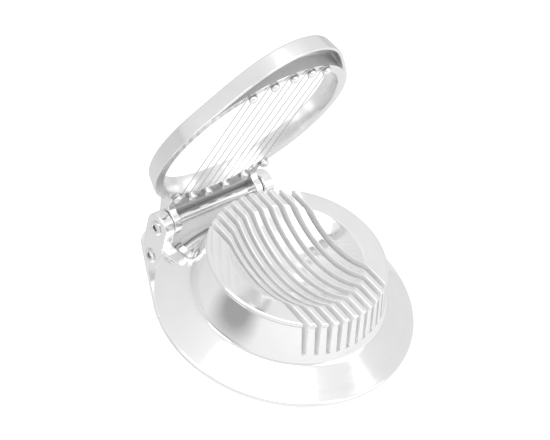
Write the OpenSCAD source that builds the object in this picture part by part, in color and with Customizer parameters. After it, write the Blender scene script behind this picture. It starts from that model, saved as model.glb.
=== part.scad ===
// Round egg slicer in cast aluminium: slotted dome, hinged cutting frame, one wire on eleven studs.
// Millimetres. +Z up, X along the hinge pin, -Y to the front. The origin is on the table at the dome's axis.
// The frame is shown raised against its stop. Every curved fit is a cylinder or a turned profile.

/* [Egg bed] */
// distance from one slice to the next
slot_pitch = 5; // [4.9:0.05:5.1]
// slot width at the top of the dome
slot_top = 2.4; // [2.2:0.1:2.6]
// slot width at its round floor
slot_bottom = 1.6; // [1.4:0.1:1.8]
// height of the slot floors above the table
slot_floor = 14.7; // [14.5:0.1:14.8]
// radius of the egg hollow where it meets the top
bowl_rim = 30; // [28:0.5:31]
// radius of the sphere that the egg hollow is cut from
bowl_sphere = 45; // [43:0.5:48]

/* [Base] */
// radius of the brim
brim = 60; // [59.5:0.1:61]
// total height of the dome
height = 31.6; // [31:0.1:32]
// wall of the casting
wall = 2.2; // [1.8:0.1:2.4]
// thickness of the flat plate around and behind the brim
plate = 2.4; // [2.2:0.1:2.6]

/* [Hinge] */
// opening angle of the frame at its stop
open_angle = 72.5; // [60:0.5:72.5]
// outside diameter of the hinge pin
pin_d = 4.6; // [4.4:0.1:4.8]
// radial running clearance of the frame on the pin
running_gap = 0.05; // [0.03:0.01:0.08]
// width of each ear of the base
ear_w = 5.9; // [5.5:0.1:6]

/* [Frame] */
// radius of the round opening at the underside
opening_r = 44.3; // [44.2:0.1:44.5]
// height of the frame's band
band_h = 8.2; // [7.8:0.1:8.4]
// reach of the front nose from the hinge pin
nose_reach = 122; // [119:0.5:124]

/* [Wire and studs] */
// wire diameter
wire_d = 0.4; // [0.35:0.05:0.45]
// stud diameter
stud_d = 4.4; // [4.2:0.1:4.5]
// length of a stud below the frame
stud_l = 3.2; // [3:0.1:3.6]

/* [Hidden] */
$fn = 96;
SLOTS = 10;
edge_wall = 2.7;
slot_span = (SLOTS - 1) * slot_pitch;
half_bed = slot_span / 2 + slot_top / 2 + edge_wall;
// the ribs end just above the slot floors, so the slots are open beneath, inside the walls
rib_low = slot_floor + 0.3;

// turned profile of the base
root_r = 44.2;
root_z = 9.8;
rim_r = 40.8;
rim_bead = 1.2;
wall_top_r = 40.3;
wall_top_z = 29.2;
lip_r = 58.8;
lip_slope = 0.4;
edge_z = 1.5;
foot_in = 56.4;
foot_chamfer = 0.6;
root_curve = [[2, -0.6], [0.6, 0.2], [0, 1.4]];
bowl_z = height + sqrt(bowl_sphere * bowl_sphere - bowl_rim * bowl_rim);

// hinge
pin_y = 57;
pin_z = 11.4;
ear_out = 32.1;
ear_in = ear_out - ear_w;
ear_r = 6.8;
tab_x = 37.5;
tab_y = 64.5;
tab_corner = 3;
web_x = 21.4;
web_front = 50.3;
web_back = 62.4;
web_top_z = 8.6;
web_top_front = 55.9;
web_top_back = 58.6;
head_d = 7;
head_r = 0.9;
pin_bore = 3;
pin_bore_depth = 9;

// frame, in its own axes: origin on the pin, -Y towards the nose, Z up when closed
centre_y = -pin_y;
under = 4.2;
band_top = under + band_h;
draft = 0.2 * band_h;
band_w = 4.8;
nose_r = 24;
nose_c = nose_reach - nose_r;
nose_wall = 2.2;
deck = 2.6;
arm_in = 21.9;
arm_out = 25.8;
arm_r = 6.2;
arm_front = 18;
// the tail of each arm comes down on the plate when the frame is fully open
tail_low = -1;
tail_top = 1.6;
stop_gap = 0.05;
tail = (pin_z - plate - stop_gap + tail_low * cos(open_angle)) / sin(open_angle);
sheet_front = 2.7;
sheet_t = 2.8;

// studs and wire
stud_circle = 46.8;
neck_d = stud_d - wire_d;
shank_d = 3;
shank_l = 5;
wire_z = under - 0.5;
wrap_r = stud_d / 2;
wire_r = wire_d / 2;
joint = 0.15;
REAR_STUDS = [-5, -3, -1, 1, 3, 5];
FRONT_STUDS = [-4, -2, 0, 2, 4];

function rear_stud(i) = [REAR_STUDS[i] * slot_pitch,
    centre_y + sqrt(stud_circle * stud_circle - pow(REAR_STUDS[i] * slot_pitch, 2))];
function front_stud(i) = [FRONT_STUDS[i] * slot_pitch,
    centre_y - sqrt(stud_circle * stud_circle - pow(FRONT_STUDS[i] * slot_pitch, 2))];
// studs in the order in which the wire meets them
function stop(i) = i % 2 == 0 ? rear_stud(i / 2) : front_stud((i - 1) / 2);
// unit normal of the strand that leaves stud i on its right and reaches stud i + 1 on its left
function strand_n(i) = let(d = stop(i + 1) - stop(i), l = norm(d), u = d / l,
    side = i % 2 == 0 ? 1 : -1, s = 2 * wrap_r / l, c = sqrt(1 - s * s)) u * s + [-u[1], u[0]] * c * side;
function leave(i) = stop(i) + strand_n(i) * wrap_r;
function arrive(i) = stop(i) - strand_n(i - 1) * wrap_r;
function heading(v) = atan2(v[1], v[0]);

// ---------------------------------------------------------------- base
module shell_profile() {
    root = [for (c = root_curve) [root_r + c[0], root_z + c[1]]];
    polygon(concat([[0, 0], [brim - foot_chamfer, 0], [brim, foot_chamfer], [brim, edge_z],
        [lip_r + lip_slope, plate], [lip_r, plate]], root, [[wall_top_r, wall_top_z],
        [rim_r - rim_bead, wall_top_z], [rim_r - rim_bead, height], [0, height]]));
    translate([rim_r - rim_bead, height - rim_bead]) circle(r = rim_bead);
}

module cavity_profile() {
    polygon([[0, -1], [foot_in, -1], [foot_in, foot_chamfer], [root_r - foot_chamfer, root_z - wall],
        [wall_top_r - wall, wall_top_z - 0.2], [wall_top_r - wall, height - wall], [0, height - wall]]);
}

module plate_outline() {
    corner = [tab_x - tab_corner, tab_y - tab_corner];
    reach = norm(corner);
    turn = atan2(corner[1], corner[0]) - acos((brim - tab_corner) / reach);
    out = [cos(turn), sin(turn)];
    circle(r = brim);
    polygon([out * brim, corner + out * tab_corner, [corner[0], tab_y], [-corner[0], tab_y],
        [-corner[0] - out[0] * tab_corner, corner[1] + out[1] * tab_corner], [-out[0] * brim, out[1] * brim]]);
    for (s = [-1, 1]) translate([s * corner[0], corner[1]]) circle(r = tab_corner);
}

module slot(x) {
    translate([x, 0, slot_floor]) rotate([90, 0, 0]) linear_extrude(height = 2 * brim, center = true) {
        translate([0, slot_bottom / 2]) circle(r = slot_bottom / 2);
        polygon([[-slot_bottom / 2, slot_bottom / 2], [slot_bottom / 2, slot_bottom / 2],
            [slot_top / 2, height - slot_floor], [slot_top / 2, height], [-slot_top / 2, height],
            [-slot_top / 2, height - slot_floor]]);
    }
}

module rib_block() {
    translate([-half_bed, -brim, rib_low]) cube([2 * half_bed, 2 * brim, height]);
}

module ear(side) {
    x = side > 0 ? ear_in : -ear_out;
    translate([x, pin_y, pin_z]) rotate([90, 0, 90]) cylinder(r = ear_r, h = ear_w);
    translate([x, pin_y - ear_r, plate / 2]) cube([ear_w, 2 * ear_r, pin_z - plate / 2]);
}

module hinge_web() {
    translate([-web_x, 0, 0]) rotate([90, 0, 90]) linear_extrude(height = 2 * web_x)
        polygon([[web_front, plate / 2], [web_front, plate], [web_top_front, web_top_z],
            [web_top_back, web_top_z], [web_back, plate], [web_back, plate / 2]]);
}

module base() {
    color([0.85, 0.86, 0.87]) difference() {
        union() {
            rotate_extrude() shell_profile();
            linear_extrude(height = plate) plate_outline();
            ear(-1);
            ear(1);
            hinge_web();
        }
        difference() {
            rotate_extrude() cavity_profile();
            translate([0, 0, bowl_z]) sphere(r = bowl_sphere + wall, $fn = 180);
            rib_block();
        }
        translate([0, 0, bowl_z]) sphere(r = bowl_sphere, $fn = 180);
        for (i = [0 : SLOTS - 1]) slot((i - (SLOTS - 1) / 2) * slot_pitch);
        translate([-brim, pin_y, pin_z]) rotate([0, 90, 0]) cylinder(d = pin_d, h = 2 * brim);
    }
}

// ---------------------------------------------------------------- pin
module hinge_pin() {
    color([0.7, 0.71, 0.73]) translate([0, pin_y, pin_z]) difference() {
        union() {
            rotate([0, 90, 0]) cylinder(d = pin_d, h = 2 * ear_out + head_r, center = true);
            for (s = [-1, 1]) translate([s * (ear_out + head_r / 2), 0, 0]) rotate([0, 90, 0])
                cylinder(d = head_d, h = head_r, center = true);
        }
        for (s = [-1, 1]) translate([s * (ear_out + head_r - pin_bore_depth / 2 + 0.5), 0, 0]) rotate([0, 90, 0])
            cylinder(d = pin_bore, h = pin_bore_depth + 1, center = true);
    }
}

// ---------------------------------------------------------------- frame
module raised() {
    translate([0, pin_y, pin_z]) rotate([-open_angle, 0, 0]) children();
}

// solid cone that the band is cut from; the opening runs 1 mm past both of its faces
module cone(r, past) {
    slope = draft / band_h;
    translate([0, centre_y, under - past]) cylinder(r1 = r + slope * past, r2 = r - draft - slope * past,
        h = band_h + 2 * past);
}

// round tip and straight flanks of the nose, tangent to the band
module nose_outline(inset) {
    r = nose_r - inset;
    big = opening_r + band_w - draft / 2 - inset;
    reach = nose_c + centre_y;
    lean = asin((big - r) / reach);
    n = [cos(lean), -sin(lean)];
    translate([0, -nose_c]) circle(r = r);
    polygon([[n[0] * big, centre_y + n[1] * big], [n[0] * r, -nose_c + n[1] * r],
        [-n[0] * r, -nose_c + n[1] * r], [-n[0] * big, centre_y + n[1] * big], [0, centre_y]]);
}

module nose() {
    difference() {
        translate([0, 0, under]) linear_extrude(height = band_h) nose_outline(0);
        translate([0, 0, under - 1]) linear_extrude(height = band_h - deck + 1) nose_outline(nose_wall);
    }
}

// arm seen along the pin: first axis -Y (towards the nose), second axis Z
module arm_outline() {
    circle(r = arm_r);
    polygon([[0, 0], [arm_r, 0], [arm_r + 1.5, under], [arm_front, under], [arm_front, band_top],
        [arm_r + 1.8, band_top], [-3.3, 5.25]]);
    polygon([[0, tail_low], [0, arm_r - 1.2], [-5.6, 2.7], [-tail, tail_top], [-tail, tail_low]]);
}

module arm(x) {
    translate([x, 0, 0]) rotate([90, 0, 90]) linear_extrude(height = arm_out - arm_in) mirror([1, 0])
        arm_outline();
}

module cutting_frame() {
    color([0.85, 0.86, 0.87]) raised() difference() {
        union() {
            nose();
            cone(opening_r + band_w, 0);
            arm(arm_in);
            arm(-arm_out);
            translate([-arm_in - 0.1, -16, under]) cube([2 * arm_in + 0.2, 16 - sheet_front, sheet_t]);
        }
        cone(opening_r, 1);
        rotate([0, 90, 0]) cylinder(r = pin_d / 2 + running_gap, h = 3 * arm_out, center = true);
        for (i = [0 : len(REAR_STUDS) - 1]) translate([rear_stud(i)[0], rear_stud(i)[1], under - 1])
            cylinder(d = shank_d, h = shank_l + 1);
        for (i = [0 : len(FRONT_STUDS) - 1]) translate([front_stud(i)[0], front_stud(i)[1], under - 1])
            cylinder(d = shank_d, h = shank_l + 1);
    }
}

// ---------------------------------------------------------------- studs and wire
module stud(p) {
    color([0.78, 0.79, 0.8]) raised() translate([p[0], p[1], under]) rotate_extrude()
        polygon([[0, shank_l], [shank_d / 2, shank_l], [shank_d / 2, 0], [neck_d / 2 - 0.1, 0],
            [neck_d / 2 - 0.1, -0.8], [stud_d / 2, -1.1], [stud_d / 2, -stud_l + 1], [stud_d / 2 - 0.6, -stud_l + 0.3],
            [stud_d / 2 - 1.3, -stud_l], [0, -stud_l]]);
}

module wrap(c, from, turn) {
    translate([c[0], c[1], wire_z]) rotate([0, 0, from]) rotate_extrude(angle = turn)
        translate([wrap_r, 0]) circle(r = wire_r + 0.02, $fn = 24);
}

module cutting_wire() {
    color([0.6, 0.61, 0.63]) raised() {
        for (i = [0 : SLOTS - 1]) {
            a = leave(i);
            b = arrive(i + 1);
            translate([a[0], a[1], wire_z]) rotate([0, 0, heading(b - a)]) rotate([0, 90, 0])
                translate([0, 0, -joint]) cylinder(r = wire_r, h = norm(b - a) + 2 * joint, $fn = 24);
        }
        for (i = [1 : SLOTS - 1]) {
            start = heading(arrive(i) - stop(i));
            end = heading(leave(i) - stop(i));
            turn = i % 2 == 0 ? -((start - end + 720) % 360) : (end - start + 720) % 360;
            wrap(stop(i), start, turn);
        }
        wrap(stop(0), heading(leave(0) - stop(0)), 270);
        wrap(stop(SLOTS), heading(arrive(SLOTS) - stop(SLOTS)), -270);
    }
}

base();
hinge_pin();
cutting_frame();
cutting_wire();
stud(rear_stud(0));  // rear_stud_1
stud(rear_stud(1));  // rear_stud_2
stud(rear_stud(2));  // rear_stud_3
stud(rear_stud(3));  // rear_stud_4
stud(rear_stud(4));  // rear_stud_5
stud(rear_stud(5));  // rear_stud_6
stud(front_stud(0));  // front_stud_1
stud(front_stud(1));  // front_stud_2
stud(front_stud(2));  // front_stud_3
stud(front_stud(3));  // front_stud_4
stud(front_stud(4));  // front_stud_5
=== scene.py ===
import math

import bmesh
import bpy
from mathutils import Matrix, Vector


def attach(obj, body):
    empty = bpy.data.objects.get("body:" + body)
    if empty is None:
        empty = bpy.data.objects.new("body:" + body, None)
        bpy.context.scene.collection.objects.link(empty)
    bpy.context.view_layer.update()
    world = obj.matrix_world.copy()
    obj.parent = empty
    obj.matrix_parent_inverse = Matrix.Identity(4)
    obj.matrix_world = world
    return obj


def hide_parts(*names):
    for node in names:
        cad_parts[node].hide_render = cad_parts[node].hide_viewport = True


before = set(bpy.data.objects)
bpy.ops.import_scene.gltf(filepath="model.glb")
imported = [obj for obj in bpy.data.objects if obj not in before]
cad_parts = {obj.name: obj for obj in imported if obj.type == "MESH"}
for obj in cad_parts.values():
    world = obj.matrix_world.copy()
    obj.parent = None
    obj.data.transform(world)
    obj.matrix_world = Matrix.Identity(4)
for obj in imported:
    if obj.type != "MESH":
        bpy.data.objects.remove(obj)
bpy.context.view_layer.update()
print("nodes:", sorted(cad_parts))

# %% [markdown]
# A round egg slicer has two aluminium castings. The base is a shallow drum with a hollow for the egg and ten slots
# through it. The frame carries one steel wire, run back and forth round eleven studs, and turns on a tube at the
# back. Everything below is worked out in millimetres, because a maker thinks in them, and made metres at the end.

# %% Units and small helpers
MM = 0.001
SHARP = 38.0
TURN_AXIS = (0, 0, 1)
MIDDLE = (0, 0, 0)


def link(name, bm):
    """Makes a mesh object from a bmesh in millimetres, smooth but for edges steeper than SHARP degrees."""
    bmesh.ops.scale(bm, vec=(MM, MM, MM), verts=bm.verts)
    mesh = bpy.data.meshes.new(name)
    bm.to_mesh(mesh)
    bm.free()
    mesh.polygons.foreach_set("use_smooth", [True] * len(mesh.polygons))
    mesh.set_sharp_from_angle(angle=math.radians(SHARP))
    obj = bpy.data.objects.new(name, mesh)
    bpy.context.scene.collection.objects.link(obj)
    weigh = obj.modifiers.new("even shading", "WEIGHTED_NORMAL")
    weigh.keep_sharp = True
    print(name, len(mesh.polygons), "faces")
    return obj


def fit_out(obj, body, slot, finishes, *nodes):
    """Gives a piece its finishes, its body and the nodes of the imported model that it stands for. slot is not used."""
    for finish in finishes:
        obj.data.materials.append(finish)
    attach(obj, body)
    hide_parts(*nodes)


def round_edges(bm, edges, width, steps=3):
    """Rounds edges by width millimetres."""
    bmesh.ops.bevel(bm, geom=list(edges), offset=width, offset_type="OFFSET", affect="EDGES", segments=steps,
                    profile=0.5, material=-1, clamp_overlap=False)


def steep(bm, degrees):
    """The edges between two faces that meet at more than an angle."""
    return [e for e in bm.edges if len(e.link_faces) == 2 and e.calc_face_angle(0.0) > math.radians(degrees)]


def arc(cx, cy, r, start, end, steps):
    """Points on an arc, in degrees."""
    out = []
    for i in range(steps + 1):
        a = math.radians(start + (end - start) * i / steps)
        out.append((cx + r * math.cos(a), cy + r * math.sin(a)))
    return out


def chain(bm, points):
    """A few joined vertices: the line that a lathe or an extrusion starts from."""
    verts = [bm.verts.new(p) for p in points]
    edges = [bm.edges.new(pair) for pair in zip(verts, verts[1:])]
    return verts, edges


def lathe(bm, outline, steps):
    """Turns a closed outline of (radius, height) pairs about Z."""
    verts, edges = chain(bm, [(r, 0, z) for r, z in outline])
    edges.append(bm.edges.new((verts[-1], verts[0])))
    bmesh.ops.spin(bm, geom=verts + edges, cent=MIDDLE, axis=TURN_AXIS, angle=math.tau, steps=steps, use_merge=True)


def prism(bm, outline, start, depth):
    """Pushes a flat closed outline of 3-D points out by depth along start's direction."""
    verts = [bm.verts.new(p) for p in outline]
    face = bm.faces.new(verts)
    out = bmesh.ops.extrude_face_region(bm, geom=[face])
    moved = [g for g in out["geom"] if isinstance(g, bmesh.types.BMVert)]
    bmesh.ops.translate(bm, vec=Vector(start) * depth, verts=moved)
    return verts + moved


# %% [markdown]
# The finishes come first, so that each piece can be given one when it is made. Shader maths is easier to read as sums
# than as wires, so this small class wraps a socket and lets + - * / add the Math nodes. Any other node is made by its
# one method, add.

# %% Sums made of nodes
class Sum:
    """A socket that can be added, subtracted, multiplied and divided."""

    def __init__(self, tree, socket):
        self.tree = tree
        self.socket = socket

    def add(self, kind, settings=None, out=0, **inputs):
        node = self.tree.nodes.new(kind)
        for name, value in (settings or {}).items():
            if name == "stops":
                for stop, (place, tone) in zip(node.color_ramp.elements, value):
                    stop.position = place
                    stop.color = (tone, tone, tone, 1.0)
            else:
                setattr(node, name, value)
        for name, value in inputs.items():
            name = name.replace("_", " ")
            socket = node.inputs[int(name[1:])] if name[1:].isdigit() else node.inputs[name]
            if isinstance(value, Sum):
                self.tree.links.new(value.socket, socket)
            else:
                socket.default_value = value
        return Sum(self.tree, node.outputs[out])

    def axes(self):
        """The x, y and z of a place or a direction."""
        return [Sum(self.tree, out) for out in self.add("ShaderNodeSeparateXYZ", Vector=self).socket.node.outputs]

    def _maths(self, operation, a, b):
        return self.add("ShaderNodeMath", {"operation": operation}, n0=a, n1=b)

    def __add__(self, other):
        return self._maths("ADD", self, other)

    def __radd__(self, other):
        return self._maths("ADD", other, self)

    def __sub__(self, other):
        return self._maths("SUBTRACT", self, other)

    def __rsub__(self, other):
        return self._maths("SUBTRACT", other, self)

    def __mul__(self, other):
        return self._maths("MULTIPLY", self, other)

    def __rmul__(self, other):
        return self._maths("MULTIPLY", other, self)

    def __truediv__(self, other):
        return self._maths("DIVIDE", self, other)


# %% [markdown]
# Polished aluminium isn't an even mirror. A casting is tumbled and then buffed, which leaves very fine lines along
# the buffing wheel's path, a soft cloudiness in how sharply it reflects, and faint ripples from the mould. So the
# finish has three layers: clouds that change the roughness, fine lines that follow the turning direction, and a
# shallow bump. All of it reads Object coordinates, so it stays put when the frame moves. Where the buffing wheel
# can't reach, in the slots, the hollow of the nose and behind the studs, the skin of the casting is left duller. In the
# nose's hollow, behind the studs and under the arms that duller skin is also painted dark grey: painted shade.

# %% Metal finishes
CLOUD_DULL = 0.9
MARK_DULL = 0.8
DARK_SHARE = 0.93
RING_WOBBLE = 0.0006
BUMP_DEEP = 0.0002


def metal(name, tone, rough, lines, ripple, turned=None, cloud=60.0, bare=1.0):
    """A metal finish. turned is the centre of the buffing rings, or None for marks without a direction. bare is 1 for
    clean metal and less under a chalky casting skin."""
    finish = bpy.data.materials.new(name)
    finish.use_nodes = True
    tree = finish.node_tree
    shader = tree.nodes["Principled BSDF"]
    shader.inputs["Metallic"].default_value = bare
    start = Sum(tree, None)
    place = start.add("ShaderNodeTexCoord", out=3)
    if turned is not None:
        place = start.add("ShaderNodeMapping", Vector=place, Location=[-c * MM for c in turned])
    clouds = start.add("ShaderNodeTexNoise", Vector=place, Scale=cloud, Detail=3.0, Roughness=0.55)
    if turned is not None:
        x, y, z = place.axes()
        radius = start.add("ShaderNodeMath", {"operation": "SQRT"}, n0=x * x + y * y)
        ring = start.add("ShaderNodeCombineXYZ", X=radius, Y=z, Z=clouds * RING_WOBBLE)
        marks = start.add("ShaderNodeTexNoise", Vector=ring, Scale=lines, Detail=4.0, Roughness=0.6)
    else:
        marks = start.add("ShaderNodeTexNoise", Vector=place, Scale=lines, Detail=4.0, Roughness=0.6)
    dull = rough + (clouds - 0.5) * rough * CLOUD_DULL + (marks - 0.5) * rough * MARK_DULL
    tree.links.new(dull.socket, shader.inputs["Roughness"])
    shade = start.add("ShaderNodeValToRGB", {"stops": [(0.25, 0.0), (0.75, 1.0)]}, Fac=clouds * 0.6 + marks * 0.4)
    low = [t * DARK_SHARE for t in tone] + [1.0]
    high = list(tone) + [1.0]
    colour = start.add("ShaderNodeMix", {"data_type": "RGBA"}, out=2, Factor=shade, n6=low, n7=high)
    tree.links.new(colour.socket, shader.inputs["Base Color"])
    height = marks * 0.35 + clouds * 0.65
    bump = start.add("ShaderNodeBump", Strength=ripple, Distance=BUMP_DEEP, Height=height)
    tree.links.new(bump.socket, shader.inputs["Normal"])
    return finish


BUFFED = metal("buffed_casting", (0.93, 0.93, 0.93), 0.115, 1900.0, 0.03, turned=(0.0, 0.0, 0.0))
SATIN = metal("satin_slots", (0.93, 0.93, 0.93), 0.55, 1100.0, 0.08, bare=0.25)
BRIGHT = metal("bright_frame", (0.92, 0.92, 0.92), 0.17, 1500.0, 0.035)
# The dark grey of this finish is painted shade. Its higher roughness is the real as-cast skin.
CAST_SKIN_AND_SHADE = metal("cast_skin_and_painted_shade", (0.66, 0.66, 0.66), 0.45, 700.0, 0.15, cloud=180.0, bare=0.4)
TUBE = metal("drawn_tube", (0.86, 0.86, 0.86), 0.16, 2600.0, 0.06)
# The bore's finish is a near-black grey: painted shade inside the tube's hole.
PAINTED_BORE_SHADE = metal("bore_painted_shade", (0.2, 0.2, 0.2), 0.55, 800.0, 0.3, cloud=250.0)
STUD = metal("tumbled_stud", (0.88, 0.88, 0.88), 0.16, 2200.0, 0.05)
WIRE = metal("drawn_wire", (0.62, 0.62, 0.62), 0.25, 3000.0, 0.04)
print("finishes:", [m.name for m in bpy.data.materials])

# %% [markdown]
# The dome is a turned shape: wall, rounded rim, flat top and a hollow that is part of a ball. Each rib is a slice of
# that shape between two slots. It could be cut out with Booleans, but those leave ragged edges that don't round well.
# Here each rib starts as a grid instead. Every row of the grid is one ring of the turned shape, so the rows bend down
# the wall and through the hollow by themselves, and the long edges come out clean enough to round.

# %% The turned shape
PITCH = 5.0
SLOTS = 10
SLOT_Z = 14.7
TOP_Z = 31.6
SLOT_TOP = 2.4
SLOT_LOW = 1.6
BEAD_R = 1.2
BEAD_CENTRE = (39.6, 30.4)
BOWL_BALL = 45.0
BOWL_RIM = 30.0
BOWL_Z = TOP_Z + math.sqrt(BOWL_BALL ** 2 - BOWL_RIM ** 2)
SOFT_RIM = 29.5
WALL_FOOT = (44.2, 11.2)
WALL_HEAD = (40.3, 29.2)
WALL_ROWS = 8
WALL_STEP = 2.05


def wall_r(z):
    """Radius of the drum's leaning wall at a height. The wall is a straight line between two (radius, height)."""
    rise = WALL_HEAD[1] - WALL_FOOT[1]
    return WALL_FOOT[0] + (WALL_HEAD[0] - WALL_FOOT[0]) * (z - WALL_FOOT[1]) / rise


def hollow_z(r):
    """Height of the egg hollow at a radius."""
    return BOWL_Z - math.sqrt(BOWL_BALL ** 2 - r * r)


def rings():
    """(radius, height) of the turned rows, from the slot floor up the wall and in to the hollow."""
    rows = [(wall_r(SLOT_Z + i * WALL_STEP), SLOT_Z + i * WALL_STEP) for i in range(WALL_ROWS)]
    for degrees in (-45, -20, 5, 30, 55, 75, 90):
        a = math.radians(degrees)
        rows.append((BEAD_CENTRE[0] + BEAD_R * math.cos(a), BEAD_CENTRE[1] + BEAD_R * math.sin(a)))
    rows += [(r, TOP_Z) for r in (37.6, 35.6, 33.6, 31.8, 30.7)]
    rows += [(30.25, TOP_Z - 0.05), (29.85, TOP_Z - 0.2), (SOFT_RIM, hollow_z(SOFT_RIM))]
    return rows


RINGS = rings()
BOWL_ROWS = 30
ROWS = 2 * len(RINGS) + BOWL_ROWS - 2
GUESS_R = 20.0
GUESSES = 3


def slot_half(z):
    """Half the width of a slot at a height."""
    return (SLOT_LOW + (SLOT_TOP - SLOT_LOW) * (z - SLOT_Z) / (TOP_Z - SLOT_Z)) / 2


def on_dome(row, side):
    """Point of one grid row. side(z) gives x at a height. Rows run from the front slot floor to the rear one."""
    last = len(RINGS)
    if row < last or row >= last + BOWL_ROWS - 1:
        i = row if row < last else ROWS - row
        r, z = RINGS[i]
        x = side(z)
        y = math.sqrt(max(r * r - x * x, 0.0))
        return Vector((x, -y if row < last else y, z))
    part = (row - last + 1) / BOWL_ROWS
    x = side(hollow_z(GUESS_R))
    for _ in range(GUESSES):
        reach = math.sqrt(max(SOFT_RIM ** 2 - x * x, 0.0))
        y = reach * (2 * part - 1)
        z = hollow_z(math.sqrt(x * x + y * y))
        x = side(z)
    return Vector((x, y, z))


print("rows from floor to floor:", ROWS)

# %% [markdown]
# A rib is as wide as the pitch less one slot, and a little wider at its foot, because the slots are cast with a
# taper so that the casting leaves its mould. The grid is closed underneath by bridging its two end rows, and at its
# sides by filling the two long loops. Then only the edges round the top are rounded: those are the thin bright lines
# that catch the light on the real one.

# %% Ribs
RIB_COLUMNS = 4
RIB_ROUND = 0.46
CHEEK_ROUND = 0.36
POLISHED = 0
DULL = 1


def grid(bm, columns, rows):
    """A flat grid and its (column, row, vertex) list."""
    made = bmesh.ops.create_grid(bm, x_segments=columns, y_segments=rows, size=1.0)["verts"]
    return [(round((v.co.x + 1) / 2 * columns), round((v.co.y + 1) / 2 * rows), v) for v in made]


def close_rib(bm, spots, columns, rows):
    """Bridges the two end rows and fills the two sides. Returns the long edges round the top."""
    by_place = {(c, r): v for c, r, v in spots}

    def edges_of(places):
        return [bm.edges.get((by_place[a], by_place[b])) for a, b in zip(places, places[1:])]

    ends = [edges_of([(c, r) for c in range(columns + 1)]) for r in (0, rows)]
    bmesh.ops.bridge_loops(bm, edges=ends[0] + ends[1])
    long_edges = []
    for c in (0, columns):
        side = edges_of([(c, r) for r in range(rows + 1)])
        across = bm.edges.get((by_place[(c, 0)], by_place[(c, rows)]))
        bmesh.ops.edgeloop_fill(bm, edges=side + [across], mat_nr=DULL)
        long_edges += side
    return long_edges


def rib(bm, x):
    """One rib between two slots, with its middle at x."""
    part = bmesh.new()
    spots = grid(part, RIB_COLUMNS, ROWS)
    for c, r, v in spots:
        share = 2 * c / RIB_COLUMNS - 1
        v.co = on_dome(r, lambda z: x + share * (PITCH / 2 - slot_half(z)))
    tops = close_rib(part, spots, RIB_COLUMNS, ROWS)
    bmesh.ops.recalc_face_normals(part, faces=part.faces)
    round_edges(part, tops, RIB_ROUND)
    add_part(bm, part)


def add_part(bm, part):
    """Puts one finished bmesh into another."""
    mesh = bpy.data.meshes.new("part")
    part.to_mesh(mesh)
    part.free()
    bm.from_mesh(mesh)
    bpy.data.meshes.remove(mesh)


base = bmesh.new()
for i in range(SLOTS - 1):
    rib(base, (i - (SLOTS - 2) / 2) * PITCH)
print("ribs:", len(base.faces), "faces")

# %% [markdown]
# Outside the last slot on each side the dome goes on as one smooth cheek. Its rows are the same rings, but each one
# is an arc that starts and ends at the slot's wall, so the rows shrink to a point where the slot meets the hollow.

# %% Cheeks
CHEEK_COLUMNS = 72
CHEEK_IN = (SLOTS - 1) / 2 * PITCH
CHEEK_ROWS = 9
APEX_Z = 27.0


def cheek(bm, hand):
    """The smooth part of the dome beyond the last slot. hand is 1 for the right and -1 for the left."""
    part = bmesh.new()
    apex = CHEEK_IN + slot_half(APEX_Z)
    rows = RINGS + [(SOFT_RIM + (apex - SOFT_RIM) * i / CHEEK_ROWS, None) for i in range(1, CHEEK_ROWS + 1)]
    spots = grid(part, CHEEK_COLUMNS, len(rows) - 1)
    for c, r, v in spots:
        radius, z = rows[r]
        z = hollow_z(radius) if z is None else z
        edge = min(CHEEK_IN + slot_half(z), radius)
        turn = math.acos(edge / radius) * (2 * c / CHEEK_COLUMNS - 1)
        v.co = (hand * radius * math.cos(turn), radius * math.sin(turn), z)
    bmesh.ops.remove_doubles(part, verts=part.verts, dist=0.001)
    rim = [e for e in part.edges if e.is_boundary]
    low = [e for e in rim if max(v.co.z for v in e.verts) < SLOT_Z + 0.01]
    side = [e for e in rim if e not in low]
    ends = sorted({v for e in low for v in e.verts if any(f in side for f in v.link_edges)}, key=lambda v: v.co.y)
    across = part.edges.new(ends)
    bmesh.ops.edgeloop_fill(part, edges=side + [across], mat_nr=DULL)
    bmesh.ops.edgeloop_fill(part, edges=low + [across], mat_nr=DULL)
    bmesh.ops.recalc_face_normals(part, faces=part.faces)
    round_edges(part, side, CHEEK_ROUND)
    add_part(bm, part)


for hand in (1, -1):
    cheek(base, hand)
print("with cheeks:", len(base.faces), "faces")

# %% [markdown]
# Below the slots the wall runs on unbroken, turns out through a tight root and becomes the wide sloping brim. This
# part is one outline turned on a lathe, hollow underneath as the casting is. The small step at the lip is the flat
# land that the real one has round its edge. Between the ears the cone is cut off straight, to leave room for the
# web: two cuts side by side make a clean edge, and everything behind them is lowered to the tab.

# %% Brim and lower wall
PLATE = 2.4
FLOOR_LOW = 1.2
EAR_IN = 26.2
WEB_FRONT = 50.3
BRIM_STEPS = 256
CONE_TOP = (46.3, 9.2)
CONE_END = (58.6, 2.62)
CONE_ROWS = 6
CONE_FALL = 0.535
CUT_GAP = 0.05
LIP = [(59.35, 2.32), (59.7, 2.1), (59.9, 1.8), (59.95, 1.2), (59.9, 0.6), (59.6, 0.15), (59.2, 0.0)]
ROOT = [(44.12, 11.6), (44.25, 11.0), (44.5, 10.5), (44.9, 10.05), (45.5, 9.65), CONE_TOP]


def brim_outline():
    """Closed outline of (radius, height): outside down, lip, underside and back up inside."""
    out = [(wall_r(SLOT_Z - i * 0.75), SLOT_Z - i * 0.75) for i in range(5)]
    out += ROOT
    for i in range(1, CONE_ROWS + 1):
        out.append(tuple(a + (b - a) * i / CONE_ROWS for a, b in zip(CONE_TOP, CONE_END)))
    out += [(58.85, 2.45), (59.0, 2.4)] + LIP
    out += [(56.4, 0.0), (56.4, 0.6), (50.0, 4.2), (43.6, 7.6), (42.6, 9.0), (41.2, SLOT_Z)]
    return out


def cone_z(x, y):
    """Height of the brim's cone."""
    return CONE_TOP[1] - CONE_FALL * (math.hypot(x, y) - CONE_TOP[0])


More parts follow.
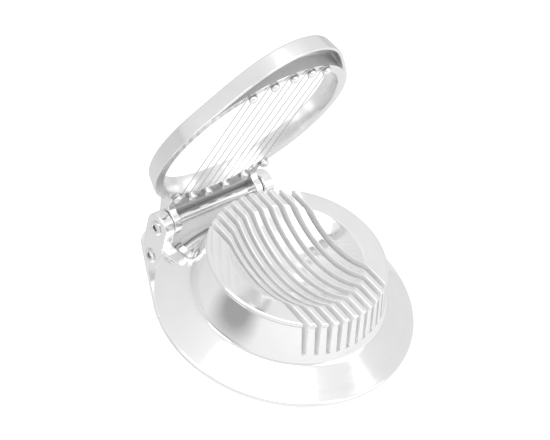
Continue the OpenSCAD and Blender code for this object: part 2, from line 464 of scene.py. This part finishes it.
part = bmesh.new()
lathe(part, brim_outline(), BRIM_STEPS)
for y in (WEB_FRONT, WEB_FRONT + CUT_GAP):
    bmesh.ops.bisect_plane(part, geom=part.verts[:] + part.edges[:] + part.faces[:], plane_co=(0, y, 0),
                           plane_no=(0, 1, 0), dist=0.0001)
for v in part.verts:
    if v.co.y > WEB_FRONT + 0.04 and abs(v.co.x) < EAR_IN + 1.0 and v.co.z > FLOOR_LOW:
        on_top = v.co.z > cone_z(v.co.x, v.co.y) - 0.6
        v.co.z = min(v.co.z, PLATE - 0.05 if on_top else FLOOR_LOW)
bmesh.ops.recalc_face_normals(part, faces=part.faces)
add_part(base, part)
print("with brim:", len(base.faces), "faces")

# %% [markdown]
# The slots end in a half round in the wall, since the blades that cast them are round at the bottom. Each end gets a
# small sill with a round notch in it. The sill is an outline pushed inwards, and its outer face is then laid on the
# wall's curve.

# %% Slot ends
SILL_LOW = SLOT_Z - 0.4
SILL_BACK = 41.3
SILL_STEPS = 10


def sill(bm, x, side):
    """The round end of one slot. side is 1 at the back and -1 at the front."""
    half = slot_half(SLOT_Z) + 0.02
    notch = arc(x, SLOT_Z + half, half, 0, -180, SILL_STEPS)
    outline = [(x - half, SILL_LOW), (x + half, SILL_LOW)] + notch
    part = bmesh.new()
    fresh = prism(part, [(u, 0.0, z) for u, z in outline], (0, 1, 0), 1.0)
    for i, v in enumerate(fresh):
        outer = i < len(outline)
        radius = wall_r(v.co.z) - 0.02 if outer else SILL_BACK
        v.co.y = side * math.sqrt(radius ** 2 - v.co.x ** 2)
    bmesh.ops.recalc_face_normals(part, faces=part.faces)
    add_part(bm, part)


for i in range(SLOTS):
    for side in (1, -1):
        sill(base, (i - (SLOTS - 1) / 2) * PITCH, side)
print("with slot ends:", len(base.faces), "faces")

# %% [markdown]
# The hinge end is a flat tab that widens the brim, two ears with round tops and a sloping web between them. Each is
# an outline pushed out to its thickness. The ears' edges are rounded more than the ribs', since a casting's outer
# corners are, and those roundings are what shows in the light.

# %% Tab and ears
PIN_Y = 57.0
PIN_Z = 11.4
EAR_OUT = 32.1
EAR_R = 6.8
TAB = (37.5, 64.5)
TAB_CORNER = 8.5
TAB_INNER = 49.9
TAB_BLEND = 8
TAB_ROUND = 0.45
EAR_FOOT = PLATE - 0.6
EAR_ROUND = 0.85
BRIM_R = 59.9
ANY_EDGE = 40.0


def block(bm, outline, start, depth, width, steps=3, finish=0):
    """An outline pushed out to a thickness, with every steep edge rounded."""
    part = bmesh.new()
    prism(part, outline, start, depth)
    for face in part.faces:
        face.material_index = finish
    bmesh.ops.recalc_face_normals(part, faces=part.faces)
    round_edges(part, steep(part, ANY_EDGE), width, steps)
    add_part(bm, part)


corner = (TAB[0] - TAB_CORNER, TAB[1] - TAB_CORNER)
lean = math.degrees(math.atan2(corner[1], corner[0]) - math.acos((BRIM_R - TAB_CORNER) / math.hypot(*corner)))
tab = arc(0, 0, BRIM_R, lean - TAB_BLEND, lean, 3)
tab += arc(corner[0], corner[1], TAB_CORNER, lean, 90, 8)
tab += [(-x, y) for x, y in reversed(tab)]
tab += arc(0, 0, TAB_INNER, 180 - (lean - TAB_BLEND), lean - TAB_BLEND, 48)
block(base, [(x, y, 0.0) for x, y in tab], (0, 0, 1), PLATE, TAB_ROUND)

ear = [(PIN_Y - EAR_R, EAR_FOOT), (PIN_Y - EAR_R, PIN_Z)]
ear += arc(PIN_Y, PIN_Z, EAR_R, 180, 0, 20)[1:] + [(PIN_Y + EAR_R, EAR_FOOT)]
for x in (EAR_IN, -EAR_OUT):
    block(base, [(x, y, z) for y, z in ear], (1, 0, 0), EAR_OUT - EAR_IN, EAR_ROUND, steps=4)
print("with tab and ears:", len(base.faces), "faces")

# %% [markdown]
# The web fills the space between the brim and the pin with one flat slope, left as it was cast. Under each of the
# frame's two knuckles it is cut to a round trough, the room that the knuckle turns in. The trough stops short of the
# knuckle's tail, which swings through the space behind it.

# %% Web
KNUCKLE_IN = 21.4
KNUCKLE_ROOM = 6.5
WEB_TOP = (55.9, 58.6)
WEB_TOP_Z = 8.6
WEB_END = 62.4
WEB_DEEP = 1.4
WEB_ROUND = 0.4
WEB_SLOPE = (WEB_TOP_Z - PLATE) / (WEB_TOP[0] - WEB_FRONT)
TROUGH_STOP = 268
TROUGH_END = 56.77
TROUGH_ROUND = 0.1


def trough():
    """Outline of the web under a knuckle, as (y, z)."""
    start = 180
    while PIN_Z + KNUCKLE_ROOM * math.sin(math.radians(start)) > PLATE + WEB_SLOPE * (
            PIN_Y + KNUCKLE_ROOM * math.cos(math.radians(start)) - WEB_FRONT):
        start += 1
    return ([(WEB_FRONT, WEB_DEEP), (WEB_FRONT, PLATE)]
            + arc(PIN_Y, PIN_Z, KNUCKLE_ROOM, start, TROUGH_STOP, 12) + [(TROUGH_END, WEB_DEEP)])


web = [(WEB_FRONT, WEB_DEEP), (WEB_FRONT, PLATE), (WEB_TOP[0], WEB_TOP_Z), (WEB_TOP[1], WEB_TOP_Z)]
web += [(WEB_END, PLATE), (WEB_END, WEB_DEEP)]
block(base, [(-KNUCKLE_IN, y, z) for y, z in web], (1, 0, 0), 2 * KNUCKLE_IN, WEB_ROUND, finish=DULL)
for x in (KNUCKLE_IN - 0.05, -EAR_IN - 0.1):
    block(base, [(x, y, z) for y, z in trough()], (1, 0, 0), EAR_IN - KNUCKLE_IN + 0.15, TROUGH_ROUND, finish=DULL)
print("with web:", len(base.faces), "faces")

base_piece = link("slicer_base", base)
fit_out(base_piece, "base_body", "polished_casting", [BUFFED, SATIN], "base")

# %% [markdown]
# The hinge pin is a tube, pushed through both ears with its ends spread a little so that it can't work out. It is
# turned in one go: bore, rounded flare, outside and the other flare.

# %% Hinge pin
PIN_R = 2.3
FLARE_R = 3.5
BORE_R = 1.5
BORE_DEEP = 9.0
PIN_END = EAR_OUT + 0.9
PIN_STEPS = 64
SAME_PLACE = 0.001


def pin_outline():
    """Half of the pin as (distance along, radius), from the middle to the end and into the bore."""
    return [(0.0, PIN_R), (EAR_OUT - 0.2, PIN_R), (EAR_OUT, PIN_R + 0.05), (EAR_OUT + 0.02, FLARE_R - 0.25),
            (EAR_OUT + 0.15, FLARE_R), (EAR_OUT + 0.45, FLARE_R), (PIN_END - 0.15, FLARE_R - 0.4),
            (PIN_END, FLARE_R - 1.0), (PIN_END, BORE_R + 0.25), (PIN_END - 0.25, BORE_R),
            (PIN_END - BORE_DEEP, BORE_R), (PIN_END - BORE_DEEP, 0.0)]


pin = bmesh.new()
half = pin_outline()
line = [(x, 0, r) for x, r in reversed(half)] + [(-x, 0, r) for x, r in half[1:]]
verts, edges = chain(pin, line)
bmesh.ops.spin(pin, geom=verts + edges, cent=MIDDLE, axis=(1, 0, 0), angle=math.tau, steps=PIN_STEPS, use_merge=True)
bmesh.ops.remove_doubles(pin, verts=pin.verts, dist=SAME_PLACE)
# Faces deep in the bore take the near-black finish, which is painted shade.
for face in pin.faces:
    deep = all(math.hypot(v.co.y, v.co.z) < BORE_R + 0.01 for v in face.verts)
    face.material_index = DULL if deep else POLISHED
bmesh.ops.translate(pin, vec=(0, PIN_Y, PIN_Z), verts=pin.verts)
bmesh.ops.recalc_face_normals(pin, faces=pin.faces)
pin_piece = link("pin_tube", pin)
fit_out(pin_piece, "base_body", "tube_metal", [TUBE, PAINTED_BORE_SHADE], "hinge_pin")

# %% [markdown]
# The frame is made lying closed, with its pin at the origin, and then turned up to where it stands. Its outline is a
# ring that swells smoothly into a nose. Every loop of the casting has the same number of points, placed on rays from
# the middle of the opening, so extruding one loop to the next gives clean strips.

# %% Outline of the frame
OPEN = 72.5
UNDER = 4.2
BAND_TOP = 12.4
DRAFT = 1.64
OPENING_R = 44.3
BAND_R = 49.1
NOSE_TIP = 65.0
NOSE_TURN = 1.25
NOSE_SWELL = 2.0
RAYS = 288


def reach(angle, inset=0.0):
    """Distance from the middle of the opening to the outline, at an angle from the nose."""
    a = abs((angle + math.pi) % math.tau - math.pi)
    swell = (0.5 + 0.5 * math.cos(math.pi * min(a / NOSE_TURN, 1.0))) ** NOSE_SWELL
    return BAND_R - inset + (NOSE_TIP - BAND_R) * swell


print("nose reaches", round(reach(0.0), 2), "mm from the middle, the flank", round(reach(1.0), 2))

# %% [markdown]
# The nose is cast hollow underneath, with a wall round its edge and the ring's own wall on the inside, which keeps it
# light. Where the outline has no room beside the ring the hollow shrinks to nothing, so the same loops serve the
# whole way round.

# %% Ring and nose
NOSE_WALL = 1.6
RECESS = 6.6
RING_OUT = 48.4
THINNEST = 0.75
FADE = 2.2


def ease(t):
    """0 below 0, 1 above 1 and smooth between."""
    t = min(max(t, 0.0), 1.0)
    return t * t * (3 - 2 * t)


def ring_loops():
    """(radius, height) functions of the angle, in order round the casting's section."""
    def room(a):
        return reach(a) - NOSE_WALL - RING_OUT

    def ring_edge(a):
        return min(RING_OUT, reach(a) - THINNEST)

    def wall_in(a):
        return max(reach(a) - NOSE_WALL, ring_edge(a))

    def deep(a):
        return UNDER + RECESS * ease(room(a) / FADE)

    slope = DRAFT / (BAND_TOP - UNDER)

    def leaning(a, z, inset):
        return reach(a, slope * (z - UNDER) + inset)

    return [
        (lambda a: OPENING_R + 0.25, lambda a: UNDER),
        (lambda a: ring_edge(a) - 0.2, lambda a: UNDER),
        (ring_edge, lambda a: UNDER + 0.2 * ease(room(a))),
        (ring_edge, lambda a: deep(a) - 0.4 * ease(room(a))),
        (lambda a: ring_edge(a) + 0.5 * ease(room(a) / FADE), deep),
        (lambda a: max(wall_in(a) - 0.5 * ease(room(a) / FADE), ring_edge(a)), deep),
        (wall_in, lambda a: deep(a) - 0.4 * ease(room(a))),
        (wall_in, lambda a: UNDER + 0.2 * ease(room(a))),
        (lambda a: max(wall_in(a) + 0.2, ring_edge(a)), lambda a: UNDER),
        (lambda a: reach(a, 0.45), lambda a: UNDER),
        (lambda a: reach(a, 0.13), lambda a: UNDER + 0.13),
        (lambda a: reach(a, 0.0), lambda a: UNDER + 0.45),
        (lambda a: leaning(a, BAND_TOP - 1.0, 0.0), lambda a: BAND_TOP - 1.0),
        (lambda a: leaning(a, BAND_TOP - 0.5, 0.12), lambda a: BAND_TOP - 0.48),
        (lambda a: leaning(a, BAND_TOP - 0.2, 0.42), lambda a: BAND_TOP - 0.14),
        (lambda a: leaning(a, BAND_TOP, 1.0), lambda a: BAND_TOP),
        (lambda a: OPENING_R - DRAFT + 0.7, lambda a: BAND_TOP),
        (lambda a: OPENING_R - DRAFT + 0.22, lambda a: BAND_TOP - 0.14),
        (lambda a: OPENING_R - DRAFT + 0.05, lambda a: BAND_TOP - 0.5),
        (lambda a: OPENING_R - 0.06, lambda a: UNDER + 0.3),
    ]


HOLLOW_STRIPS = range(2, 7)
sections = ring_loops()
casting = bmesh.new()
verts = bmesh.ops.create_circle(casting, cap_ends=False, radius=1.0, segments=RAYS)["verts"]
edges = list(casting.edges)


def lay_loop(verts, section):
    """Moves a loop out along its rays to a section's radius and height."""
    radius, height = section
    for v in verts:
        a = math.atan2(v.co.x, -v.co.y)
        v.co = (radius(a) * math.sin(a), -radius(a) * math.cos(a), height(a))


lay_loop(verts, sections[0])
for i, section in enumerate(sections[1:] + sections[:1]):
    made = bmesh.ops.extrude_edge_only(casting, edges=edges)["geom"]
    edges = [g for g in made if isinstance(g, bmesh.types.BMEdge) and g.is_boundary]
    for edge in edges:
        # The strips of the nose's hollow take the dark grey finish: painted shade in the recess.
        edge.link_faces[0].material_index = DULL if i in HOLLOW_STRIPS else POLISHED
    lay_loop([g for g in made if isinstance(g, bmesh.types.BMVert)], section)
bmesh.ops.remove_doubles(casting, verts=casting.verts, dist=0.002)
bmesh.ops.recalc_face_normals(casting, faces=casting.faces)
inner = min(math.hypot(v.co.x, v.co.y) for v in casting.verts)
across = max((e.calc_length() for e in casting.edges), default=0.0)
print("opening radius", round(inner, 2), "longest edge", round(across, 2), "open edges",
      sum(1 for e in casting.edges if len(e.link_faces) != 2))
bmesh.ops.translate(casting, vec=(0, -PIN_Y, 0), verts=casting.verts)
print("ring and nose:", len(casting.faces), "faces")

# %% [markdown]
# Two arms reach back from the ring to the pin. Each ends in a round knuckle with a tail. The tail comes down on the
# tab when the frame is up, and that is what stops it. The knuckles are left solid, since the pin hides its own hole.

# %% Arms
ARM_IN = 21.9
ARM_OUT = 25.8
ARM_R = 6.2
ARM_FRONT = 18.0
ARM_ROUND = 0.4
TAIL = 9.07
TAIL_LOW = -1.0


def arm_outline():
    """Arm seen along the pin, as (towards the nose, up)."""
    round_back = arc(0, 0, ARM_R, 118, 152, 4)
    nose_side = arc(0, 0, ARM_R, -80, 10, 10)
    hollow = arc(ARM_R + 3.4, UNDER - 3.2, 3.2, 172, 90, 8)
    top = [(ARM_FRONT, UNDER), (ARM_FRONT, BAND_TOP - 1.2), (12.0, BAND_TOP - 0.6), (8.0, BAND_TOP - 1.6)]
    tail = [(-TAIL, 1.6), (-TAIL, TAIL_LOW), (-5.9, TAIL_LOW - 0.6)]
    return nose_side + hollow + top + round_back + tail + arc(0, 0, ARM_R, 205, 262, 6)


for x in (ARM_IN, -ARM_OUT):
    block(casting, [(x, -f, z) for f, z in arm_outline()], (1, 0, 0), ARM_OUT - ARM_IN, ARM_ROUND)
print("with arms:", len(casting.faces), "faces")

# %% [markdown]
# A thin sheet joins the arms behind the studs. Its front edge is an arc inside the ring, clear of the drum. It ends in
# a thicker lip behind the pin, so that no light shows between the two. The sheet and the arms' undersides are dull,
# like the other places that the buffing wheel can't reach, and painted dark grey as well. That dark grey is painted
# shade, and the dark sheet fills the shaded space behind the studs.

# %% Sheet
SHEET_SIDE = ARM_IN + 0.1
SHEET_END = 5.0
SHEET_LOW = UNDER + 0.4
SHEET_THICK = 2.6
SHEET_RING = 46.5
LIP_LOW = 2.9
LIP_TOP = 7.0
LIP_START = -5.0
SHEET_ROUND = 0.3
LIP_ROUND = 0.5
ARM_UNDERSIDE = (-18.2, -6.5)

edge_turn = math.degrees(math.asin(SHEET_SIDE / SHEET_RING))
sheet = arc(0, -PIN_Y, SHEET_RING, 90 + edge_turn, 90 - edge_turn, 16)
sheet += [(SHEET_SIDE, SHEET_END), (-SHEET_SIDE, SHEET_END)]
# The sheet and its lip take the dark grey finish: painted shade behind the studs.
block(casting, [(x, y, SHEET_LOW) for x, y in sheet], (0, 0, 1), SHEET_THICK, SHEET_ROUND, finish=DULL)
sheet_lip = [(LIP_START, LIP_LOW), (LIP_START, LIP_TOP), (SHEET_END, LIP_TOP), (SHEET_END, LIP_LOW)]
block(casting, [(-SHEET_SIDE, y, z) for y, z in sheet_lip], (1, 0, 0), 2 * SHEET_SIDE, LIP_ROUND, finish=DULL)
casting.normal_update()
# Downward faces under the arms take the dark grey finish too: painted shade under the arms.
for face in casting.faces:
    middle = face.calc_center_median()
    on_arm = abs(middle.x) > ARM_IN and ARM_UNDERSIDE[0] < middle.y < ARM_UNDERSIDE[1]
    if face.normal.z < -0.9 and on_arm and middle.z < UNDER + 0.1:
        face.material_index = DULL

RAISED = Matrix.Translation((0, PIN_Y, PIN_Z)) @ Matrix.Rotation(math.radians(-OPEN), 4, "X")
bmesh.ops.transform(casting, matrix=RAISED, verts=casting.verts)
frame_piece = link("raised_frame", casting)
fit_out(frame_piece, "frame_body", "frame_casting", [BRIGHT, CAST_SKIN_AND_SHADE], "cutting_frame")

# %% [markdown]
# The studs are the smallest pieces, but they catch the eye, because each has its own round bright nose. They are
# turned with a proper ball end and a waist under the frame where the wire runs.

# %% Studs
STUD_CIRCLE = 46.8
STUD_R = 2.2
STUD_LONG = 3.2
STUD_STEPS = 40
BALL_Z = -1.7
REAR = (-5, -3, -1, 1, 3, 5)
FRONT = (-4, -2, 0, 2, 4)


def stud_outline():
    """(radius, height below the frame) from the shank down to the nose."""
    out = [(0.0, 2.0), (1.5, 2.0), (1.5, 0.05), (1.95, 0.0), (1.9, -0.3), (1.9, -0.75), (2.0, -0.95),
           (STUD_R, -1.15), (STUD_R, BALL_Z)]
    for degrees in (15, 30, 45, 60, 75, 90):
        a = math.radians(degrees)
        out.append((STUD_R * math.cos(a), BALL_Z - (STUD_LONG + BALL_Z) * math.sin(a)))
    return out


def stud(name, x, side):
    """One stud. side is 1 at the hinge end and -1 at the nose."""
    bm = bmesh.new()
    verts, edges = chain(bm, [(r, 0, z) for r, z in stud_outline()])
    bmesh.ops.spin(bm, geom=verts + edges, cent=MIDDLE, axis=TURN_AXIS, angle=math.tau, steps=STUD_STEPS,
                   use_merge=True)
    bmesh.ops.remove_doubles(bm, verts=bm.verts, dist=SAME_PLACE)
    y = -PIN_Y + side * math.sqrt(STUD_CIRCLE ** 2 - x * x)
    bmesh.ops.transform(bm, matrix=RAISED @ Matrix.Translation((x, y, UNDER)), verts=bm.verts)
    bmesh.ops.recalc_face_normals(bm, faces=bm.faces)
    piece = link(f"{name}_turned", bm)
    fit_out(piece, "frame_body", "stud_metal", [STUD], name)


for row, places, side in (("rear", REAR, 1), ("front", FRONT, -1)):
    for i, place in enumerate(places):
        stud(f"{row}_stud_{i + 1}", place * PITCH, side)

# %% [markdown]
# The wire's own solid is already a fine round wire with its loops round the studs, so it stays and only gets a
# drawn-steel finish.

# %% Wire
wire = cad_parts["cutting_wire"]
wire.data.materials.clear()
wire.data.materials.append(WIRE)
print("wire:", len(wire.data.polygons), "faces")

# %% [markdown]
# The slicer stands on a plain white floor in a bright studio. Polished metal shows nothing but what is round it, so
# the light matters more here than any colour. The floor is therefore two floors in one: a plain white one that the
# camera sees, and one that only reflections see, which darkens towards the back and has a round dark card on it.

# %% Floor
CARD = (-100.0, 0.0)
CARD_R = 44.0
CARD_TONE = 0.05
CARD_CORE = 0.45
FADE_FROM = 0.15
FADE_LONG = 0.3
FLOOR_HALF = 4000.0


def floor_finish(seen_as, front, back):
    """A white floor that the camera sees as seen_as. Metal reflects it as front before the slicer and as back behind
    it, with a dark card on the left that gives the drum's bright wall one dark reflection."""
    finish = bpy.data.materials.new("white_floor")
    finish.use_nodes = True
    tree = finish.node_tree
    shader = tree.nodes["Principled BSDF"]
    shader.inputs["Base Color"].default_value = (0.3, 0.3, 0.3, 1.0)
    shader.inputs["Roughness"].default_value = 1.0
    shader.inputs["Specular IOR Level"].default_value = 0.0
    shader.inputs["Emission Strength"].default_value = 1.0
    start = Sum(tree, None)
    x, y, _ = start.add("ShaderNodeTexCoord", out=3).axes()

    def away(u, v):
        """Distance of a point of the floor from a place on it, in metres."""
        return start.add("ShaderNodeMath", {"operation": "SQRT"}, n0=(x - u) * (x - u) + (y - v) * (y - v))

    ground = start.add("ShaderNodeValToRGB", {"stops": [(0.0, front), (1.0, back)]},
                       Fac=(y + FADE_FROM) / FADE_LONG)
    card = start.add("ShaderNodeValToRGB", {"stops": [(CARD_CORE, CARD_TONE), (1.0, 1.0)]},
                     Fac=away(CARD[0] * MM, CARD[1] * MM) / (CARD_R * MM))
    dark = start.add("ShaderNodeMix", {"data_type": "RGBA", "blend_type": "MULTIPLY"}, out=2, Factor=1.0, n6=ground,
                     n7=card)
    seen = start.add("ShaderNodeLightPath", out=0)
    glow = start.add("ShaderNodeMix", {"data_type": "RGBA"}, out=2, Factor=seen, n6=dark,
                     n7=(seen_as, seen_as, seen_as, 1.0))
    tree.links.new(glow.socket, shader.inputs["Emission Color"])
    return finish


floor_bm = bmesh.new()
bmesh.ops.create_grid(floor_bm, x_segments=1, y_segments=1, size=FLOOR_HALF)
floor = link("studio_floor", floor_bm)
floor.data.materials.append(floor_finish(0.92, 0.76, 0.34))

# %% [markdown]
# Three large soft lights, above, to the left and in front, give the long bright reflections. A square light keeps the
# edges of those reflections straight, and the larger it is, the softer the change from light to dark on a curve.

# %% Soft lights
AIM = (0, 0, 30)


def soft_light(name, place, size, bright):
    """A square soft light that points at the slicer. bright is 1 where the metal should reflect plain white."""
    data = bpy.data.lights.new(name, "AREA")
    data.shape = "SQUARE"
    data.size = size * MM
    data.energy = bright * math.pi * (size * MM) ** 2
    lamp = bpy.data.objects.new(name, data)
    lamp.location = Vector(place) * MM
    lamp.rotation_euler = (Vector(place) - Vector(AIM)).to_track_quat("Z", "Y").to_euler()
    lamp.visible_camera = False
    bpy.context.scene.collection.objects.link(lamp)


soft_light("top_soft", (-150, -120, 950), 900, 1.12)
soft_light("left_soft", (-950, 250, 420), 480, 0.98)
soft_light("front_soft", (420, -820, 520), 760, 0.9)

# %% [markdown]
# The room is pale all round and brightens overhead. Like the floor, it is plain white to the camera.

# %% Room
HORIZON = 0.82
OVERHEAD = 1.1
world = bpy.data.worlds.new("studio")
bpy.context.scene.world = world
world.use_nodes = True
sky = world.node_tree
room = Sum(sky, None)
_, _, up = room.add("ShaderNodeTexCoord", out=0).axes()
tone = HORIZON + up * up * up * up * (OVERHEAD - HORIZON)
seen = room.add("ShaderNodeLightPath", out=0)
air = room.add("ShaderNodeMix", {"data_type": "RGBA"}, out=2, Factor=seen, n6=tone, n7=(1.0, 1.0, 1.0, 1.0))
sky.links.new(air.socket, sky.nodes["Background"].inputs["Color"])
bpy.context.scene.view_settings.view_transform = "Standard"

# %% [markdown]
# Where bright metal faces bright metal across a narrow gap, light bounces from wall to wall many times. Between two
# mirrors the usual limit of four mirror bounces would leave such a gap too dark. The slots' walls are dull, so here the
# limit changes only small spots, and it is raised for their sake.

# %% Bounces
BOUNCES = 32
bpy.context.scene.cycles.max_bounces = BOUNCES
bpy.context.scene.cycles.glossy_bounces = BOUNCES

# %% [markdown]
# The camera looks down on the slicer from the front left with a long lens, and it is tilted by about 16 degrees, so
# the slicer leans across the picture.

# %% Camera
AZIMUTH = math.radians(-49.89)
ELEVATION = math.radians(43.89)
ROLL = math.radians(15.74)
DISTANCE = 782.3
SHIFT_RIGHT = -3.8
SHIFT_UP = 37.0
LENS = 113.84
SENSOR = 36.0

back = Vector((math.sin(AZIMUTH) * math.cos(ELEVATION), -math.cos(AZIMUTH) * math.cos(ELEVATION),
               math.sin(ELEVATION)))
level = Vector((math.cos(AZIMUTH), math.sin(AZIMUTH), 0.0))
steepness = back.cross(level)
right = level * math.cos(ROLL) + steepness * math.sin(ROLL)
upward = steepness * math.cos(ROLL) - level * math.sin(ROLL)
turn = Matrix((right, upward, back)).transposed()
place = (back * DISTANCE + right * SHIFT_RIGHT + upward * SHIFT_UP) * MM

camera_data = bpy.data.cameras.new("camera")
camera_data.lens = LENS
camera_data.sensor_width = SENSOR
camera_data.clip_start = 0.01
camera = bpy.data.objects.new("camera", camera_data)
camera.matrix_world = Matrix.Translation(place) @ turn.to_4x4()
bpy.context.scene.collection.objects.link(camera)
bpy.context.scene.camera = camera
print("camera at", [round(c / MM, 1) for c in camera.location])

# %% [markdown]
# Last, the scene is brought up to date.

# %% Scene update
bpy.context.view_layer.update()
